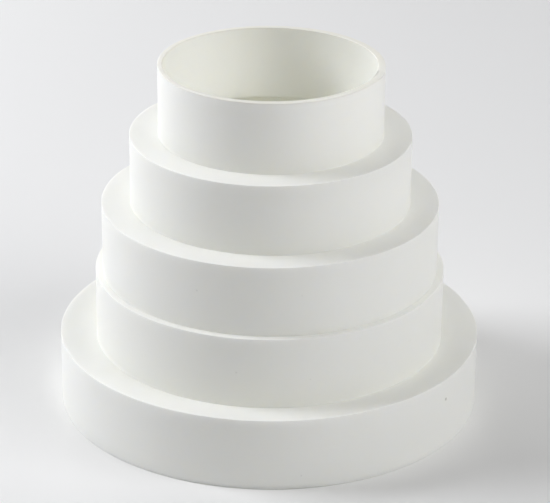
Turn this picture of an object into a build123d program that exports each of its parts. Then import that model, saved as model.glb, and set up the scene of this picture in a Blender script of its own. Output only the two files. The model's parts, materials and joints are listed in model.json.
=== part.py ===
"""Stepped duct reducer: one moulded plastic shell of five round collars, open at both ends.

It stands on its wide end. Each collar pushes into a round duct of a standard size, and a flat ledge joins it to
the next, narrower one. The widest ledge dips a little. The wall is as thick on the ledges as on the collars.
Millimetres, +Z up, with the origin on the axis at the floor.
"""
import math
import os

from build123d import *

# Outside diameter of each collar, from the floor up, a little under the 150, 125, 120, 100 and 80 mm of its duct
BASE_ACROSS = 149.7
LOWER_ACROSS = 124.0
MIDDLE_ACROSS = 119.0
UPPER_ACROSS = 98.8
TOP_ACROSS = 78.8

# Height of each collar, from the floor or the outer edge of the ledge below it to its own top
BASE_HEIGHT = 26.2
LOWER_HEIGHT = 23.9
MIDDLE_HEIGHT = 25.3
UPPER_HEIGHT = 25.2
TOP_HEIGHT = 25.5

# Wall of the shell, the same on collars and ledges
WALL = 1.8

# Dip of the widest ledge, from its outer edge to the foot of the lower collar; the other ledges are level
BASE_DIP = 1.8

# Ledges: the broken edge at the top of a collar, and the filled corner where the next collar rises
EDGE_BEVEL = 0.5
FOOT_BEVEL = 0.5

# Rounded edges of the top rim, outside and inside
RIM_RADIUS = 0.6
LIP_RADIUS = 0.4

# Knock in the top rim: its bearing from +X (towards -Y is negative), its length along the rim,
# its depth at the middle of the wall and the outward slope of its floor
KNOCK_BEARING = -16.0
KNOCK_LENGTH = 9.0
KNOCK_DEPTH = 0.6
KNOCK_SLOPE = 12.0

# Largest share of a ledge that one bevel may take, so that two always fit
LEDGE_SHARE = 0.45

# How much a bevel changes for each millimetre of wall, so that the wall stays even around it
BEVEL_PER_WALL = 2 - math.sqrt(2)

heights = [BASE_HEIGHT, LOWER_HEIGHT, MIDDLE_HEIGHT, UPPER_HEIGHT, TOP_HEIGHT]
dips = [BASE_DIP, 0.0, 0.0, 0.0]
radii = [across / 2 for across in (BASE_ACROSS, LOWER_ACROSS, MIDDLE_ACROSS, UPPER_ACROSS, TOP_ACROSS)]
rim_height = sum(heights)


def staircase(inset):
    """Corners of one skin between the shell's two ends, from the floor up.

    The skin lies inset inside the outer one. A ledge's inner skin is below its outer skin where the next collar
    is narrower, and above it where the next one is wider. A bevel that has no size left is one sharp corner.
    """
    corners = []
    ledge_height = 0.0
    for below, above, height, dip in zip(radii, radii[1:], heights, dips):
        ledge_height += height
        inwards = math.copysign(1, below - above)
        level = ledge_height - inwards * inset
        largest = LEDGE_SHARE * abs(below - above)
        edge = min(max(EDGE_BEVEL - BEVEL_PER_WALL * inset, 0.0), largest)
        foot = min(FOOT_BEVEL + BEVEL_PER_WALL * inset, largest)
        if edge > 0:
            corners.append((below - inset, level - edge))
        corners.append((below - inset - inwards * edge, level))
        corners.append((above - inset + inwards * foot, level - dip))
        corners.append((above - inset, level - dip + foot))
    return corners


def shell_section():
    """Half section of the shell in the XZ plane: up the outer skin, over the rim and down the inner skin."""
    outer = [(radii[0], 0.0)] + staircase(0.0)
    rim = [(radii[-1], rim_height), (radii[-1] - WALL, rim_height)]
    inner = [(radii[0] - WALL, 0.0)] + staircase(WALL)
    points = outer + rim + inner[::-1]
    roundings = [0.0] * len(outer) + [RIM_RADIUS, LIP_RADIUS] + [0.0] * len(inner)
    with BuildSketch(Plane.XZ) as section:
        with BuildLine():
            FilletPolyline(*points, radius=roundings, close=True)
        make_face()
    return section.sketch


def rim_knock():
    """Round tool that leaves the shallow knock: it lies across the rim, its floor dropping outwards."""
    tool_radius = (KNOCK_LENGTH**2 / 4 + KNOCK_DEPTH**2) / (2 * KNOCK_DEPTH)
    tool_length = 2 * KNOCK_LENGTH
    tool = Cylinder(tool_radius, tool_length, rotation=(0, 90 + KNOCK_SLOPE, 0))
    middle_of_wall = radii[-1] - WALL / 2
    above_rim = rim_height + tool_radius - KNOCK_DEPTH
    return Rot(0, 0, KNOCK_BEARING) * Pos(middle_of_wall, 0, above_rim) * tool


shell = revolve(shell_section(), axis=Axis.Z)
stepped_reducer = shell - rim_knock()

os.makedirs("parts", exist_ok=True)
export_step(stepped_reducer, "parts/stepped_reducer.step")
print(f"rim at {rim_height:.1f} mm, collars {[round(2 * r, 2) for r in radii]} mm across")
print(f"volume {stepped_reducer.volume:.0f} mm3")
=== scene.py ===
# %% [markdown]
# Stepped duct reducer
# This is one shell of white plastic, moulded in one shot: five round collars on top of each other, so
# that one fitting joins round ducts of several standard sizes. The solid model already holds every size.
# The cells below give it what the eye sees: soft edges, the moulded finish, the small marks of use, and
# a plain studio to look at it in.

# %% Load the solid model
import json
import math

import bmesh
import bpy
from mathutils import Matrix, Vector

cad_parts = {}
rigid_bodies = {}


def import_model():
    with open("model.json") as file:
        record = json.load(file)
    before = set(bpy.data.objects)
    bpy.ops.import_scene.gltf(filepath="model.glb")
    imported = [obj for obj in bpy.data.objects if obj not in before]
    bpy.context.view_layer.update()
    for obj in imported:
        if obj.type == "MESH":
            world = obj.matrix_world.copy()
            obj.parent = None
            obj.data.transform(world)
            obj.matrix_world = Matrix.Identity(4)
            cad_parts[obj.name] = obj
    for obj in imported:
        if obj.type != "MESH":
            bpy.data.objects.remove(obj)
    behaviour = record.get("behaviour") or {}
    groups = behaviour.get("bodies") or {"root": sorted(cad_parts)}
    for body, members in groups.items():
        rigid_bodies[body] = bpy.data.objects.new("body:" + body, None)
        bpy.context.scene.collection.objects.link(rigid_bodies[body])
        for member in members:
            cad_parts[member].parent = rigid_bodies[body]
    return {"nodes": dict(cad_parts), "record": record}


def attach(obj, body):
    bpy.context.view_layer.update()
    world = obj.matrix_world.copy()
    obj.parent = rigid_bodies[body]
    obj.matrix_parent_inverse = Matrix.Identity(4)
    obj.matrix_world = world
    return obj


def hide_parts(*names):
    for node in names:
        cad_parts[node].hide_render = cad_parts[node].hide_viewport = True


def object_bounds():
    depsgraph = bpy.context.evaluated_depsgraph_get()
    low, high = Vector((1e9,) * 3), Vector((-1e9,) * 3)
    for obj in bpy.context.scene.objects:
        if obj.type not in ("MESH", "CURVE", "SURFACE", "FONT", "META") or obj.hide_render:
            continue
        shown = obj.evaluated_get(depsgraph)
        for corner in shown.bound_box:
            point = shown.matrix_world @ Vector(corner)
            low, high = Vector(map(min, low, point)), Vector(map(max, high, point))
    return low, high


for leftover in list(bpy.data.objects):
    bpy.data.objects.remove(leftover)

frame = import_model()
cad_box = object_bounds()
MM = 0.001
print("solid model, mm:", [round(side / MM, 1) for side in cad_box[1] - cad_box[0]])

# %% [markdown]
# Sizes
# Each collar is a mount in the model's record, with its radius, its middle and the length of its
# straight wall. Reading them from there keeps the shell on the solid when a size changes. A straight
# wall ends half a millimetre short of the ledges above and below it, where the solid has a small bevel
# and this shell gets a true rounding.

# %% Read the collars
SOLID_BEVEL = 0.5 * MM

mounts = {mount["name"]: mount for mount in frame["record"]["mounts"]}
collars = sorted((m for m in mounts.values() if m["kind"] == "pin"), key=lambda m: m["pos_m"][2])
radii = [collar["dims"]["r_mm"] * MM for collar in collars]
middles = [collar["pos_m"][2] for collar in collars]
half_walls = [collar["dims"]["length_mm"] * MM / 2 for collar in collars]
edges = [middle + half + SOLID_BEVEL for middle, half in zip(middles, half_walls)]
feet = [middle - half - SOLID_BEVEL for middle, half in zip(middles, half_walls)]
rim_height = cad_box[1].z
bore = mounts["narrow_bore"]["dims"]["r_mm"] * MM
wall = radii[-1] - bore
print("collars across, mm:", [round(2 * radius / MM, 1) for radius in radii], "wall:", round(wall / MM, 2))

# %% [markdown]
# The section
# A turned or moulded round shape is fully told by half of its section. Here that is a closed loop of
# corners in the XY plane, with X as the distance from the axis and Y as the height. Each corner carries
# its own rounding, in an attribute that the node tree reads later, and a second attribute tells the
# inner skin from the outer one. A plain point on each side of a rounding holds the flat stretches flat:
# without it, smooth shading would spread the corner's turn over the whole ledge. The rim gets some plain
# points more, because a small knock is pressed into it further on.

# %% Points of the rim
RIM_ROUNDING = 0.2 * MM
LIP_ROUNDING = 0.25 * MM
SUPPORT_GAP = 0.1 * MM
RIM_SPACING = 0.1 * MM
RIM_REACH = 1.6 * MM


def plain_points(start, end):
    """Points between two ends of a straight stretch of the rim, about one spacing apart."""
    start, end = Vector(start), Vector(end)
    count = round((end - start).length / RIM_SPACING)
    return [(*start.lerp(end, step / count), 0.0) for step in range(1, count)]


def rim_corners():
    """The rim's two corners, with plain points on its top and down both its sides."""
    outside = radii[-1]
    up = plain_points((outside, rim_height - RIM_REACH), (outside, rim_height - RIM_ROUNDING - SUPPORT_GAP))
    across = plain_points((outside - RIM_ROUNDING - SUPPORT_GAP, rim_height),
                          (bore + LIP_ROUNDING + SUPPORT_GAP, rim_height))
    down = plain_points((bore, rim_height - LIP_ROUNDING - SUPPORT_GAP), (bore, rim_height - RIM_REACH))
    return [*up, (outside, rim_height, RIM_ROUNDING), *across, (bore, rim_height, LIP_ROUNDING), *down]


rim = rim_corners()
print("rim:", len(rim), "points")

# %% Corners of both skins
EDGE_ROUNDING = 0.15 * MM
FOOT_ROUNDING = 0.15 * MM
INSIDE_ROUNDING = 0.3 * MM
FLOOR_ROUNDING = 0.25 * MM
SWEPT_ROUNDING = 1.2 * MM


def section_corners():
    """Corners (distance from axis, height, rounding): the outer skin going up, the inner one going down."""
    outer = [(radii[0], 0.0, FLOOR_ROUNDING)]
    inner = [(radii[0] - wall, 0.0, FLOOR_ROUNDING)]
    for below, above, edge, foot in zip(radii, radii[1:], edges, feet[1:]):
        outer += [(below, edge, EDGE_ROUNDING), (above, foot, FOOT_ROUNDING)]
        inner += [(below - wall, edge - wall, INSIDE_ROUNDING), (above - wall, foot - wall, SWEPT_ROUNDING)]
    return outer + rim, inner[::-1]


outer_skin, inner_skin = section_corners()
print("corners:", len(outer_skin), "outside and on the rim,", len(inner_skin), "inside")

# %% Support points
def with_supports(corners):
    """The same loop, with a plain point just outside each end of every rounding."""
    loop = []
    for index, (x, y, rounding) in enumerate(corners):
        corner = Vector((x, y, 0))
        if rounding == 0:
            loop.append((corner, 0.0))
            continue
        before = Vector((*corners[index - 1][:2], 0))
        after = Vector((*corners[(index + 1) % len(corners)][:2], 0))
        back, ahead = (before - corner).normalized(), (after - corner).normalized()
        setback = rounding / math.tan(back.angle(ahead) / 2) + SUPPORT_GAP
        loop += [(corner + back * setback, 0.0), (corner, rounding), (corner + ahead * setback, 0.0)]
    return loop


loop = with_supports(outer_skin + inner_skin)
print("loop with supports:", len(loop), "points")

# %% Draw the section
POINTS_PER_CORNER = 3

inner_points = POINTS_PER_CORNER * len(inner_skin)
inside_flags = [0.0] * (len(loop) - inner_points) + [1.0] * inner_points
sides = [(index, (index + 1) % len(loop)) for index in range(len(loop))]
section = bpy.data.meshes.new("section")
section.from_pydata([point for point, _ in loop], sides, [])
roundings = section.attributes.new("rounding", "FLOAT", "POINT")
roundings.data.foreach_set("value", [rounding for _, rounding in loop])
insides = section.attributes.new("inside", "FLOAT", "POINT")
insides.data.foreach_set("value", inside_flags)
print("section:", len(loop), "points,", inner_points, "of them inside")

# %% [markdown]
# One way to add a node
# Both the shape and the finish are node trees. This helper adds one node, sets its options, and fills
# its sockets: a value goes into the socket, and another node's output is linked to it.

# %% Node helper
def add(tree, kind, sockets=None, **options):
    """Adds one node to a tree and returns it."""
    made = tree.nodes.new(kind)
    for option, value in options.items():
        setattr(made, option, value)
    for socket, value in (sockets or {}).items():
        if isinstance(value, bpy.types.NodeSocket):
            tree.links.new(value, made.inputs[socket])
        else:
            made.inputs[socket].default_value = value
    return made


print("helper:", add.__name__, "-", add.__doc__)

# %% [markdown]
# The plastic
# The shell is injection moulded from a white, slightly warm plastic such as ABS. The mould was turned
# and then polished, which gives the shell a satin skin: it scatters light softly, shows no mirror image,
# and keeps the faintest trace of the turning lines. White ABS is filled with white pigment, so nearly
# all light comes out of it again, some of it a few millimetres from where it went in. That is why its
# edges and inside corners look soft, and why its warmth shows inside, where light bounces from wall to
# wall and takes on colour each time.

# %% Colours
def linear(code):
    """Turns an sRGB hex colour into the linear values that Blender's shaders take."""
    channels = [int(code[i:i + 2], 16) / 255 for i in (1, 3, 5)]
    return (*[c / 12.92 if c <= 0.04045 else ((c + 0.055) / 1.055) ** 2.4 for c in channels], 1.0)


PLASTIC_WHITE = linear("#FBFBF5")
PLASTIC_SHADE = linear("#F9F9F2")
# Painted light: the inside's whiter tone stands in for the light that gathers in the bore.
INSIDE_PAINTED_LIGHT = linear("#FEFEF8")
# Painted shade: a duller tone that darkens the top of the rim.
RIM_PAINTED_SHADE = linear("#EFEDE4")
# Dark colour for the specks of dirt, and for the painted shade in the knock's crack and under its burr.
GRIME_AND_SHADE = linear("#77726A")
print("plastic white, linear:", [round(channel, 3) for channel in PLASTIC_WHITE[:3]])

# %% [markdown]
# Specks
# A used fitting has a few specks: a dark one near the edge of the wide collar, and faint ones on the
# others. Each is a small ball of dirt colour in space, cut where the wall passes through it. A noise
# pulls the coordinates about first, so that no speck is a perfect circle. A row of the list gives a
# speck's bearing in degrees, its height and its size in millimetres, and its strength.

# %% List the specks
SPECKS = [
    (-34.6, 18.4, 1.5, 0.42),
    (-81.2, 5.1, 0.8, 0.12),
    (-100.1, 37.3, 0.9, 0.12),
    (-38.1, 38.8, 0.8, 0.10),
    (-76.8, 34.6, 0.7, 0.10),
    (-79.3, 65.0, 0.7, 0.10),
    (-114.0, 64.5, 0.9, 0.12),
]
NOISE_MIDDLE = (0.5, 0.5, 0.5)
SPECK_WOBBLE = 0.5 * MM
WOBBLE_SIZE = 0.9 * MM
SPECK_SOFTNESS = 0.5


def on_wall(bearing, height):
    """The point on the outer wall at a bearing in degrees and a height."""
    radius = next(radius for radius, edge in zip(radii, edges) if height < edge)
    angle = math.radians(bearing)
    return Vector((radius * math.cos(angle), radius * math.sin(angle), height))


def speck_mask(tree, place):
    """Node output that is 0 on clean plastic and rises to a speck's strength inside it."""
    wobble = add(tree, "ShaderNodeTexNoise", {"Vector": place, "Scale": 1 / WOBBLE_SIZE})
    centred = add(tree, "ShaderNodeVectorMath", {
        0: wobble.outputs["Color"], 1: NOISE_MIDDLE}, operation="SUBTRACT")
    pulled = add(tree, "ShaderNodeVectorMath", {
        0: centred.outputs[0], 1: [SPECK_WOBBLE] * 3, 2: place}, operation="MULTIPLY_ADD")
    mask = 0.0
    for bearing, height, size, strength in SPECKS:
        far = add(tree, "ShaderNodeVectorMath", {
            0: pulled.outputs[0], 1: on_wall(bearing, height * MM)}, operation="DISTANCE")
        half = size * MM / 2
        speck = add(tree, "ShaderNodeMapRange", {
            "Value": far.outputs["Value"], "From Min": half * SPECK_SOFTNESS, "From Max": half,
            "To Min": strength, "To Max": 0.0}, interpolation_type="SMOOTHSTEP")
        mask = add(tree, "ShaderNodeMath", {0: speck.outputs[0], 1: mask}, operation="MAXIMUM").outputs[0]
    return mask


print(len(SPECKS), "specks, the largest", max(size for _, _, size, _ in SPECKS), "mm")

# %% [markdown]
# The finish as nodes
# The tone drifts a little in soft clouds, as the melt does when it fills a mould. The inside is
# painted a little whiter, as painted light for the light that gathers in the bore, and the top of the
# rim is painted a little darker, as painted shade that tones down its bright edge. The skin's roughness
# varies from touch to touch, follows the turning lines, and is lower on the rounded edges, which hands
# and ducts have rubbed. The real grain and turning lines are under a tenth of a millimetre. Both are
# drawn several times coarser here, because a picture of the whole fitting can't show less.

# %% Layers of colour
CLOUD_SIZE = 17 * MM
# How far down from the top the rim's painted shade reaches.
RIM_SHADE_REACH = 0.8 * MM
# Colour sockets of a Mix node by number, because its sockets for other types have the same names
MIX_A, MIX_B, MIX_RESULT = 6, 7, 2


def plastic_colour(tree, place):
    """Node output with the clouds, the painted light inside, the painted shade on the rim, the specks of
    dirt and the knock's painted shade, in layers.
    """
    clouds = add(tree, "ShaderNodeTexNoise", {"Vector": place, "Scale": 1 / CLOUD_SIZE})
    # Painted light: the inner skin gets the whiter tone.
    inside = add(tree, "ShaderNodeAttribute", attribute_name="inside")
    height = add(tree, "ShaderNodeSeparateXYZ", {0: place})
    # Painted shade: darker towards the top of the rim.
    shaded = add(tree, "ShaderNodeMapRange", {
        "Value": height.outputs["Z"], "From Min": rim_height - RIM_SHADE_REACH, "From Max": rim_height})
    # Painted shade of the knock's crack and burr, joined with the specks of dirt.
    knock = add(tree, "ShaderNodeAttribute", attribute_name="knock_painted_shade")
    dirt_and_shade = add(tree, "ShaderNodeMath", {
        0: knock.outputs["Fac"], 1: speck_mask(tree, place)}, operation="MAXIMUM")
    colour = PLASTIC_WHITE
    for share, tone in ((clouds.outputs["Fac"], PLASTIC_SHADE), (inside.outputs["Fac"], INSIDE_PAINTED_LIGHT),
                        (shaded.outputs[0], RIM_PAINTED_SHADE), (dirt_and_shade.outputs[0], GRIME_AND_SHADE)):
        layer = add(tree, "ShaderNodeMix", {"Factor": share, MIX_A: colour, MIX_B: tone}, data_type="RGBA")
        colour = layer.outputs[MIX_RESULT]
    return colour


print("clouds:", round(CLOUD_SIZE / MM), "mm, handled rim:", round(RIM_SHADE_REACH / MM, 1), "mm")

# %% Roughness of the skin
TOUCH_SIZE = 6 * MM
TOUCH_LOW = 0.3
TOUCH_HIGH = 0.7
SATIN_LOW = 0.38
SATIN_HIGH = 0.50
LINE_SPACING = 0.7 * MM
LINE_ROUGHNESS = 0.03
LINE_WAVER = 1.0
# A Wave texture at a scale of 1 draws this many waves in one metre
WAVES_PER_SCALE = 20 / math.tau
RUBBED_POLISH = -0.08


def plastic_roughness(tree, place):
    """Node output with the satin skin: touched patches, turning lines and rubbed edges."""
    touch = add(tree, "ShaderNodeTexNoise", {"Vector": place, "Scale": 1 / TOUCH_SIZE})
    satin = add(tree, "ShaderNodeMapRange", {
        "Value": touch.outputs["Fac"], "From Min": TOUCH_LOW, "From Max": TOUCH_HIGH,
        "To Min": SATIN_LOW, "To Max": SATIN_HIGH})
    lines = add(tree, "ShaderNodeTexWave", {
        "Vector": place, "Scale": 1 / (WAVES_PER_SCALE * LINE_SPACING),
        "Distortion": LINE_WAVER}, bands_direction="Z")
    lined = add(tree, "ShaderNodeMath", {
        0: lines.outputs["Fac"], 1: LINE_ROUGHNESS, 2: satin.outputs[0]}, operation="MULTIPLY_ADD")
    rounding = add(tree, "ShaderNodeAttribute", attribute_name="rounding")
    rubbed = add(tree, "ShaderNodeMath", {0: rounding.outputs["Fac"], 1: 0.0}, operation="GREATER_THAN")
    worn = add(tree, "ShaderNodeMath", {
        0: rubbed.outputs[0], 1: RUBBED_POLISH, 2: lined.outputs[0]}, operation="MULTIPLY_ADD")
    return worn.outputs[0]


print("roughness:", SATIN_LOW, "to", SATIN_HIGH, "and lines", round(LINE_SPACING / MM, 1), "mm apart")

# %% Build the plastic
GRAIN_SIZE = 0.6 * MM
GRAIN_HEIGHT = 0.008 * MM
LIGHT_DEPTH = 3.0 * MM
LIGHT_DEPTH_BY_COLOUR = (1.0, 0.95, 0.85)
LIGHT_SHARE = 0.6
ABS_IOR = 1.53


def moulded_plastic():
    """White moulded ABS with a satin skin."""
    material = bpy.data.materials.new("moulded_white_abs")
    material.use_nodes = True
    tree = material.node_tree
    place = add(tree, "ShaderNodeTexCoord").outputs["Object"]
    grain = add(tree, "ShaderNodeTexNoise", {"Vector": place, "Scale": 1 / GRAIN_SIZE})
    bump = add(tree, "ShaderNodeBump", {"Height": grain.outputs["Fac"], "Distance": GRAIN_HEIGHT})
    shader = tree.nodes["Principled BSDF"].inputs
    tree.links.new(plastic_colour(tree, place), shader["Base Color"])
    tree.links.new(plastic_roughness(tree, place), shader["Roughness"])
    tree.links.new(bump.outputs["Normal"], shader["Normal"])
    shader["IOR"].default_value = ABS_IOR
    shader["Subsurface Weight"].default_value = LIGHT_SHARE
    shader["Subsurface Radius"].default_value = LIGHT_DEPTH_BY_COLOUR
    shader["Subsurface Scale"].default_value = LIGHT_DEPTH
    return material


plastic = moulded_plastic()
print("finish:", plastic.name, "with", len(plastic.node_tree.nodes), "nodes")

# %% [markdown]
# Turning the section into a shell
# A Screw modifier or Spin would turn the section too. Geometry Nodes do it with named sizes that can be
# changed later: Fillet Curve rounds the corners, and Curve to Mesh carries the section round a circle.
# The circle's points crowd together near one bearing, where the rim has a small knock that needs finer
# columns than the rest. A point's angle is its even share of the turn less a share of its sine, which is
# smooth all round. Curve to Mesh hangs a profile upside down on such a circle, so the section is turned
# half round first.

# %% Circle with crowded points
def crowded_circle(tree, given):
    """Node output with a circle whose points crowd together near one bearing."""
    index = add(tree, "GeometryNodeInputIndex")
    share = add(tree, "ShaderNodeMath", {
        0: index.outputs["Index"], 1: given["Columns"]}, operation="DIVIDE")
    even = add(tree, "ShaderNodeMath", {0: share.outputs[0], 1: math.tau}, operation="MULTIPLY")
    sine = add(tree, "ShaderNodeMath", {0: even.outputs[0]}, operation="SINE")
    pull = add(tree, "ShaderNodeMath", {0: sine.outputs[0], 1: given["Crowding"]}, operation="MULTIPLY")
    crowded = add(tree, "ShaderNodeMath", {0: even.outputs[0], 1: pull.outputs[0]}, operation="SUBTRACT")
    angle = add(tree, "ShaderNodeMath", {0: crowded.outputs[0], 1: given["Crowding Bearing"]})
    east = add(tree, "ShaderNodeMath", {0: angle.outputs[0]}, operation="COSINE")
    north = add(tree, "ShaderNodeMath", {0: angle.outputs[0]}, operation="SINE")
    bearing = add(tree, "ShaderNodeCombineXYZ", {"X": east.outputs[0], "Y": north.outputs[0]})
    place = add(tree, "ShaderNodeVectorMath", {
        0: bearing.outputs[0], "Scale": given["Path Radius"]}, operation="SCALE")
    circle = add(tree, "GeometryNodeCurvePrimitiveCircle", {"Resolution": given["Columns"]})
    path = add(tree, "GeometryNodeSetPosition", {
        "Geometry": circle.outputs["Curve"], "Position": place.outputs[0]})
    level = add(tree, "GeometryNodeSetCurveNormal", {"Curve": path.outputs["Geometry"]}, mode="Z_UP")
    return level.outputs["Curve"]


print("helper:", crowded_circle.__name__, "-", crowded_circle.__doc__)

# %% Build the turning tree
TURNING_INPUTS = {
    "Section": "NodeSocketGeometry", "Path Radius": "NodeSocketFloat", "Columns": "NodeSocketInt",
    "Rounding Steps": "NodeSocketInt", "Crowding": "NodeSocketFloat", "Crowding Bearing": "NodeSocketFloat",
    "Plastic": "NodeSocketMaterial"}


def turning_tree():
    """Geometry Nodes tree that turns a section about the Z axis."""
    tree = bpy.data.node_groups.new("turned_shell", "GeometryNodeTree")
    for name, kind in TURNING_INPUTS.items():
        tree.interface.new_socket(name, in_out="INPUT", socket_type=kind)
    tree.interface.new_socket("Shell", in_out="OUTPUT", socket_type="NodeSocketGeometry")
    given = add(tree, "NodeGroupInput").outputs

    outline = add(tree, "GeometryNodeMeshToCurve", {"Mesh": given["Section"]})
    rounding = add(tree, "GeometryNodeInputNamedAttribute", {"Name": "rounding"}, data_type="FLOAT")
    rounded = add(tree, "GeometryNodeFilletCurve", {
        "Curve": outline.outputs["Curve"], "Count": given["Rounding Steps"],
        "Radius": rounding.outputs["Attribute"]}, mode="POLY")
    inwards = add(tree, "ShaderNodeMath", {0: given["Path Radius"], 1: -1.0}, operation="MULTIPLY")
    to_path = add(tree, "ShaderNodeCombineXYZ", {"X": inwards.outputs[0]})
    hung = add(tree, "GeometryNodeTransform", {
        "Geometry": rounded.outputs["Curve"], "Translation": to_path.outputs[0],
        "Rotation": (math.pi, 0, 0)})

    turned = add(tree, "GeometryNodeCurveToMesh", {
        "Curve": crowded_circle(tree, given), "Profile Curve": hung.outputs["Geometry"]})
    outward = add(tree, "GeometryNodeFlipFaces", {"Mesh": turned.outputs["Mesh"]})
    smooth = add(tree, "GeometryNodeSetShadeSmooth", {"Geometry": outward.outputs["Mesh"]})
    real = add(tree, "GeometryNodeRealizeInstances", {"Geometry": smooth.outputs["Geometry"]})
    finish = add(tree, "GeometryNodeSetMaterial", {
        "Geometry": real.outputs["Geometry"], "Material": given["Plastic"]})
    add(tree, "NodeGroupOutput", {"Shell": finish.outputs["Geometry"]})
    return tree


turning = turning_tree()
print("turning tree:", len(turning.nodes), "nodes")

# %% Turn the shell
CROWDING_BEARING = math.radians(-16)
sizes = {"Path Radius": radii[-1], "Columns": 360, "Rounding Steps": 5, "Crowding": 0.8,
         "Crowding Bearing": CROWDING_BEARING, "Plastic": plastic}


def turned_mesh(section):
    """Runs the turning tree on a section and returns its result as a plain mesh."""
    turner = bpy.data.objects.new("turner", section)
    bpy.context.scene.collection.objects.link(turner)
    modifier = turner.modifiers.new("turning", "NODES")
    modifier.node_group = turning
    for item in turning.interface.items_tree:
        if item.name in sizes:
            modifier[item.identifier] = sizes[item.name]
    evaluated = turner.evaluated_get(bpy.context.evaluated_depsgraph_get())
    mesh = bpy.data.meshes.new_from_object(evaluated)
    bpy.data.objects.remove(turner)
    return mesh


def signed_volume(mesh):
    """Volume in mm3, positive where the faces point outwards."""
    work = bmesh.new()
    work.from_mesh(mesh)
    volume = work.calc_volume(signed=True) / MM**3
    work.free()
    return volume


shell = bpy.data.objects.new("reducer_shell", turned_mesh(section))
bpy.context.scene.collection.objects.link(shell)
solid = frame["nodes"]["stepped_reducer"]
print("shell:", len(shell.data.polygons), "faces,", round(signed_volume(shell.data)), "mm3")
print("solid:", round(signed_volume(solid.data)), "mm3")

# %% [markdown]
# A knock in the rim
# Something hard has hit the top rim. Some 20 mm of it are pressed down a little, more at the outside
# than at the bore. A crack runs along the bore's edge where the blow was hardest, and a slight burr
# hangs over the outer wall. A Boolean cut would leave sharp, clean faces, and sculpting can't be
# repeated. The rim has fine rows and columns here, so a formula moves its points: how hard the blow was
# at a bearing, times how far a point of the wall gave way. Each point also gets a share of painted shade,
# darker colour in the crack and in the shadow under the burr, in an attribute that the plastic reads.
# Bearings are in degrees from the right, and negative on the camera's side.

# %% Smooth ramps
def ramp(value, start, end):
    """Rises smoothly from 0 at start to 1 at end; end may be less than start."""
    share = min(max((value - start) / (end - start), 0.0), 1.0)
    return share * share * (3 - 2 * share)


def hump(value, middle, half):
    """1 in the middle, falling smoothly to 0 at half a width from it."""
    return ramp(abs(value - middle), half, 0.0)


print("a ramp in quarters:", [round(ramp(step / 4, 0, 1), 2) for step in range(5)])

# %% Press in the knock
BLOW_ENDS = (-23.5, 8.0)
BLOW_FULL = (-15.0, -4.0)
# Bearings over which the knock's crack and burr get their painted shade.
SHADE_ENDS = (-25.0, -6.5)
SHADE_FULL = (-16.0, -11.0)
DEPTH_AT_BORE = 0.1 * MM
DEPTH_OUTSIDE = 0.7 * MM
CRACK_PLACE = 0.15 * MM
CRACK_HALF = 0.6 * MM
CRACK_DEPTH = 0.2 * MM
# How dark the painted shade in the crack is.
CRACK_SHADE = 0.42
BURR = 0.05 * MM
BURR_BELOW = 0.3 * MM
BURR_HALF = 0.4 * MM
# How dark the painted shadow under the burr is.
BURR_SHADE = 0.3


def press_knock(mesh):
    """Moves the points of the rim that were hit, and returns how many."""
    # The attribute holds painted shade: darker colour in the crack and in the shadow under the burr.
    dirt_and_shade = mesh.attributes.new("knock_painted_shade", "FLOAT", "POINT").data
    moved = 0
    for point, shade_share in zip(mesh.vertices, dirt_and_shade):
        bearing = math.degrees(math.atan2(point.co.y, point.co.x))
        below = rim_height - point.co.z
        blow = ramp(bearing, BLOW_ENDS[0], BLOW_FULL[0]) * ramp(bearing, BLOW_ENDS[1], BLOW_FULL[1])
        if blow == 0 or below > RIM_REACH:
            continue
        radius = math.hypot(point.co.x, point.co.y)
        from_bore = radius - bore
        crack = hump(from_bore, CRACK_PLACE, CRACK_HALF)
        burr = ramp(from_bore, 0.0, wall) * hump(below, BURR_BELOW, BURR_HALF)
        drop = DEPTH_AT_BORE + (DEPTH_OUTSIDE - DEPTH_AT_BORE) * from_bore / wall + CRACK_DEPTH * crack
        point.co.z -= blow * drop * (1 - below / RIM_REACH)
        point.co.xy *= 1 + blow * burr * BURR / radius
        spread = ramp(bearing, SHADE_ENDS[0], SHADE_FULL[0]) * ramp(bearing, SHADE_ENDS[1], SHADE_FULL[1])
        shade_share.value = spread * max(crack * CRACK_SHADE, burr * BURR_SHADE)
        moved += 1
    return moved


print("rim points moved:", press_knock(shell.data))

# %% [markdown]
# A bore that tapers and leans
# The bore is shaped by a core that the mould holds at its wide end. The core tapers a little, so that it
# comes out again, and the melt pushes its free tip a little to one side. So the narrow collar's wall is
# thickest at the rim, and thicker there on the right than on the left. The points of the bore move
# inwards and sideways, the more the nearer they are to the rim, and the outer skin stays.

# %% Taper and lean the bore
TAPER = 0.35 * MM
LEAN = 0.5 * MM
LEAN_BEARING = math.radians(165)


def shift_bore(mesh):
    """Moves the narrow collar's bore inwards and sideways, and returns how many points moved."""
    sideways = LEAN * Vector((math.cos(LEAN_BEARING), math.sin(LEAN_BEARING)))
    root = feet[-1] - wall
    moved = 0
    for point in mesh.vertices:
        rise = (point.co.z - root) / (rim_height - root)
        depth = min((radii[-1] - point.co.xy.length) / wall, 1.0)
        if rise > 0 and depth > 0:
            inwards = -TAPER * point.co.xy.normalized()
            point.co.xy += (sideways + inwards) * rise * depth
            moved += 1
    return moved


print("bore points moved:", shift_bore(shell.data))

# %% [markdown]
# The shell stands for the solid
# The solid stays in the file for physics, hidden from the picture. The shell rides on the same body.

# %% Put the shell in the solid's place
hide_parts("stepped_reducer")
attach(shell, "root")
print("shell stands for stepped_reducer")

# %% [markdown]
# The studio
# The fitting stands on white paper that runs far beyond the picture. The world gives no light of its own
# worth naming. It only shows a pale colour wherever the camera or a reflection looks past the paper.

# %% Paper floor
PAPER_PALE = linear("#EFEFEF")
PAPER_HALF = 6.0
PAPER_ROUGHNESS = 0.9


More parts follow.
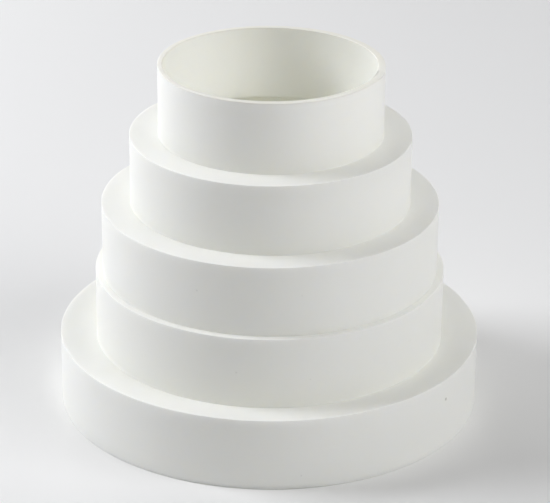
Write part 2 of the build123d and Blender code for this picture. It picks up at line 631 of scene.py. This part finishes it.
def paper_floor():
    """Large sheet of matt white paper at the height that the fitting stands on."""
    corners = [(-PAPER_HALF, -PAPER_HALF, 0), (PAPER_HALF, -PAPER_HALF, 0),
               (PAPER_HALF, PAPER_HALF, 0), (-PAPER_HALF, PAPER_HALF, 0)]
    mesh = bpy.data.meshes.new("floor")
    mesh.from_pydata(corners, [], [(0, 1, 2, 3)])
    paper = bpy.data.materials.new("matt_paper")
    paper.use_nodes = True
    shader = paper.node_tree.nodes["Principled BSDF"].inputs
    shader["Base Color"].default_value = PAPER_PALE
    shader["Roughness"].default_value = PAPER_ROUGHNESS
    mesh.materials.append(paper)
    return bpy.data.objects.new("floor", mesh)


floor = paper_floor()
bpy.context.scene.collection.objects.link(floor)
print("paper:", 2 * PAPER_HALF, "m across")

# %% Pale world
BACKDROP_GREY = linear("#BCBCBC")
AMBIENT = 0.02


def pale_world():
    """World that lights next to nothing, and that the camera and reflections see as pale paper."""
    world = bpy.data.worlds.new("studio")
    world.use_nodes = True
    tree = world.node_tree
    tree.nodes.clear()
    rays = add(tree, "ShaderNodeLightPath").outputs
    seen = rays["Is Camera Ray"]
    for kind in ("Is Glossy Ray", "Is Transmission Ray"):
        seen = add(tree, "ShaderNodeMath", {0: seen, 1: rays[kind]}, operation="MAXIMUM").outputs[0]
    dim = add(tree, "ShaderNodeBackground", {"Strength": AMBIENT, "Color": PAPER_PALE})
    pale = add(tree, "ShaderNodeBackground", {"Strength": 1.0, "Color": BACKDROP_GREY})
    shown = add(tree, "ShaderNodeMixShader", {0: seen, 1: dim.outputs[0], 2: pale.outputs[0]})
    add(tree, "ShaderNodeOutputWorld", {"Surface": shown.outputs[0]})
    return world


bpy.context.scene.world = pale_world()
print("light from the world:", AMBIENT)

# %% [markdown]
# Light
# Large soft lamps stand on a ring round the fitting. A slightly cool one on the left lights the left
# flank and the left of each ledge. A wider one at the right front, with a weak low one beside it, lights
# the right flank. The front, between the two, is the darkest, with only a touch of fill from above. Two
# low lamps behind light the paper and the far side. Inside the bore light goes from white wall to white
# wall many times before it fades, so Cycles is allowed many more bounces than its usual four. A row of
# the list gives a lamp's azimuth and elevation in degrees, its side in metres, its power in watts and
# its colour.

# %% Lamps
LAMP_DISTANCE = 1.3
LIT_POINT = Vector((0, 0, 60 * MM))
BOUNCES = 32
NEUTRAL = linear("#FFFFFF")[:3]
DAYLIGHT = linear("#FBFCFF")[:3]
LAMPS = {
    "left_key": (171, 34, 0.6, 12.9, DAYLIGHT),
    "rear_left": (120, 18, 1.0, 6.2, NEUTRAL),
    "rear_right": (60, 18, 1.0, 1.7, NEUTRAL),
    "right_front": (330, 40, 1.0, 9.1, NEUTRAL),
    "right_low": (345, 18, 0.6, 1.3, NEUTRAL),
    "front_fill": (275, 50, 0.8, 0.4, NEUTRAL),
}


def soft_lamp(name, azimuth, elevation, side, watts, colour):
    """Square lamp, turned to the fitting. Azimuth runs from the right by way of the back, in degrees."""
    around, up = math.radians(azimuth), math.radians(elevation)
    towards = Vector((math.cos(around) * math.cos(up), math.sin(around) * math.cos(up), math.sin(up)))
    lamp = bpy.data.lights.new(name, "AREA")
    lamp.size = side
    lamp.energy = watts
    lamp.color = colour
    holder = bpy.data.objects.new(name, lamp)
    holder.location = LIT_POINT + towards * LAMP_DISTANCE
    holder.rotation_euler = (-towards).to_track_quat("-Z", "Y").to_euler()
    return holder


for name, (azimuth, elevation, side, watts, colour) in LAMPS.items():
    bpy.context.scene.collection.objects.link(soft_lamp(name, azimuth, elevation, side, watts, colour))
    print("lamp:", name, watts, "W")
bpy.context.scene.cycles.max_bounces = BOUNCES
bpy.context.scene.cycles.diffuse_bounces = BOUNCES

# %% [markdown]
# The camera
# The photo was taken with a long lens from a little under a metre away, looking down on the shell. The
# lens and the distance together set how much smaller the far parts look.

# %% Camera
LENS = 168
DISTANCE = 914.6 * MM
ELEVATION = math.radians(24.085)
ROLL = math.radians(0.56)
AIM = Vector((1.83 * MM, 0, 54.88 * MM))

camera_data = bpy.data.cameras.new("camera")
camera_data.lens = LENS
camera = bpy.data.objects.new("camera", camera_data)
back = Vector((0, -math.cos(ELEVATION), math.sin(ELEVATION)))
level_view = (-back).to_track_quat("-Z", "Y").to_matrix().to_4x4()
camera.matrix_world = Matrix.Translation(AIM + back * DISTANCE) @ level_view @ Matrix.Rotation(ROLL, 4, "Z")
bpy.context.scene.collection.objects.link(camera)
bpy.context.scene.camera = camera
bpy.context.scene.view_settings.view_transform = "Standard"
print("camera:", LENS, "mm lens,", round(DISTANCE, 3), "m away")

# %% [markdown]
# The dressed shell may not outgrow the solid.
